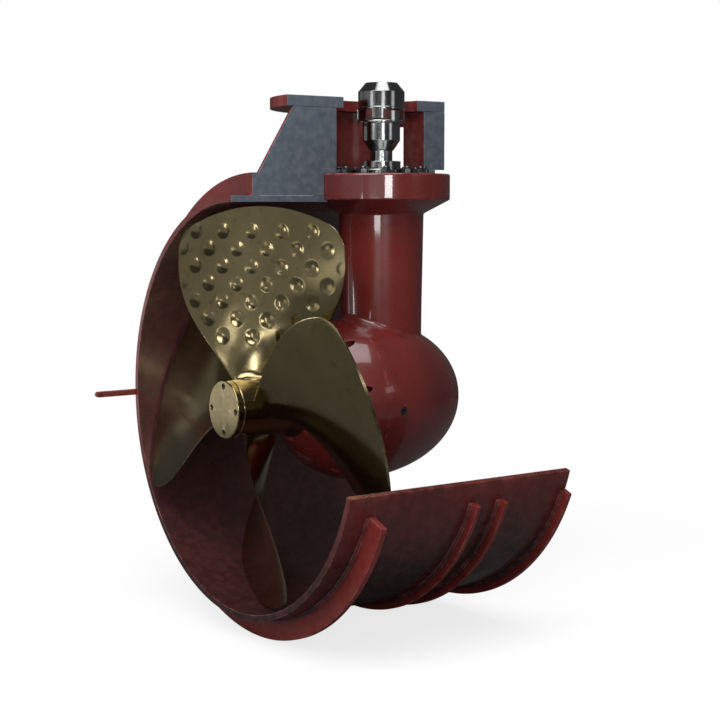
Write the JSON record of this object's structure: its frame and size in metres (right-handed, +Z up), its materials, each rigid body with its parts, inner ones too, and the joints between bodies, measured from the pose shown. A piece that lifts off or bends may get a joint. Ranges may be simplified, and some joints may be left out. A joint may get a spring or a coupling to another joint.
{
  "type": "bow thruster",
  "caption": "Cut-away tunnel thruster: bronze screw propeller on a gear leg in an open tunnel section, with motor stool and shaft coupling.",
  "frame": {"origin": "the point where the propeller shaft's axis crosses the input shaft's axis, which is also the common apex of the two bevel gears and lies on the tunnel's axis", "axes": "+X along the tunnel and the propeller shaft, from the propeller toward the pod's rounded tail; +Z up the input shaft toward the motor; +Y toward the side that is left whole, so the cut-away side faces -Y"},
  "size_m": [0.802, 1.1158, 1.391],
  "materials": {
    "tunnel_paint": "gloss oxide-red marine paint, section faces grey-blue",
    "housing_paint": "gloss oxide-red paint on a smooth casting",
    "propeller_bronze": "polished nickel-aluminium bronze",
    "machined_steel": "turned and ground steel",
    "gear_steel": "case-hardened and ground steel, oiled",
    "dark_steel": "blackened steel",
    "seal_rubber": "matt nitrile rubber",
    "spider_polymer": "cast polyurethane"
  },
  "bodies": {
    "thruster_frame": {"tunnel_shell": "tunnel_paint", "tunnel_flange": "tunnel_paint", "stiffener_ring_1": "tunnel_paint", "stiffener_ring_2": "tunnel_paint", "tunnel_end_ring": "tunnel_paint", "tunnel_side_bar": "tunnel_paint", "leg_seat_ring": "tunnel_paint", "stool_foot": "tunnel_paint", "stool_drum": "tunnel_paint", "stool_plate": "tunnel_paint", "stool_gusset_near": "tunnel_paint", "stool_gusset_far": "tunnel_paint", "stool_gusset_rear": "tunnel_paint", "stool_bolt_1": "dark_steel", "stool_bolt_2": "dark_steel", "stool_bolt_3": "dark_steel", "stool_bolt_4": "dark_steel", "leg_housing": "housing_paint", "front_cover": "housing_paint", "tail_cover": "housing_paint", "tail_plug": "dark_steel", "drain_plug": "dark_steel", "bearing_carrier": "dark_steel", "top_cover": "machined_steel", "top_seal": "seal_rubber", "front_seal": "seal_rubber", "upper_bearing_cup": "gear_steel", "pinion_bearing_cup": "gear_steel", "front_bearing_cup": "gear_steel", "tail_bearing_cup": "gear_steel"},
    "input_line": {"input_shaft": "machined_steel", "bevel_pinion": "gear_steel", "pinion_nut": "dark_steel", "pinion_key": "dark_steel", "upper_bearing_cone": "gear_steel", "pinion_bearing_cone": "gear_steel", "input_lock_nut": "dark_steel", "coupling_lower_hub": "machined_steel", "coupling_key": "dark_steel", "coupling_spider": "spider_polymer", "coupling_upper_hub": "machined_steel"},
    "propeller_line": {"prop_shaft": "machined_steel", "crown_gear": "gear_steel", "crown_key": "dark_steel", "crown_spacer": "machined_steel", "front_bearing_cone": "gear_steel", "tail_bearing_cone": "gear_steel", "tail_lock_nut": "dark_steel", "propeller": "propeller_bronze", "propeller_key": "dark_steel", "propeller_nut": "machined_steel", "hub_cap": "propeller_bronze", "cap_bolt_1": "dark_steel", "cap_bolt_2": "dark_steel", "cap_bolt_3": "dark_steel", "cap_bolt_4": "dark_steel"}
  },
  "joints": [
    {"name": "propeller_spin", "type": "hinge", "parent": "thruster_frame", "child": "propeller_line", "pos_m": [0, 0, 0], "axis": [1, 0, 0], "continuous": true},
    {"name": "input_spin", "type": "hinge", "parent": "thruster_frame", "child": "input_line", "pos_m": [0, 0, 0], "axis": [0, 0, 1], "continuous": true}
  ],
  "couplings": [
    {"joint": "input_spin", "follows": "propeller_spin", "ratio": -2.2308}
  ]
}
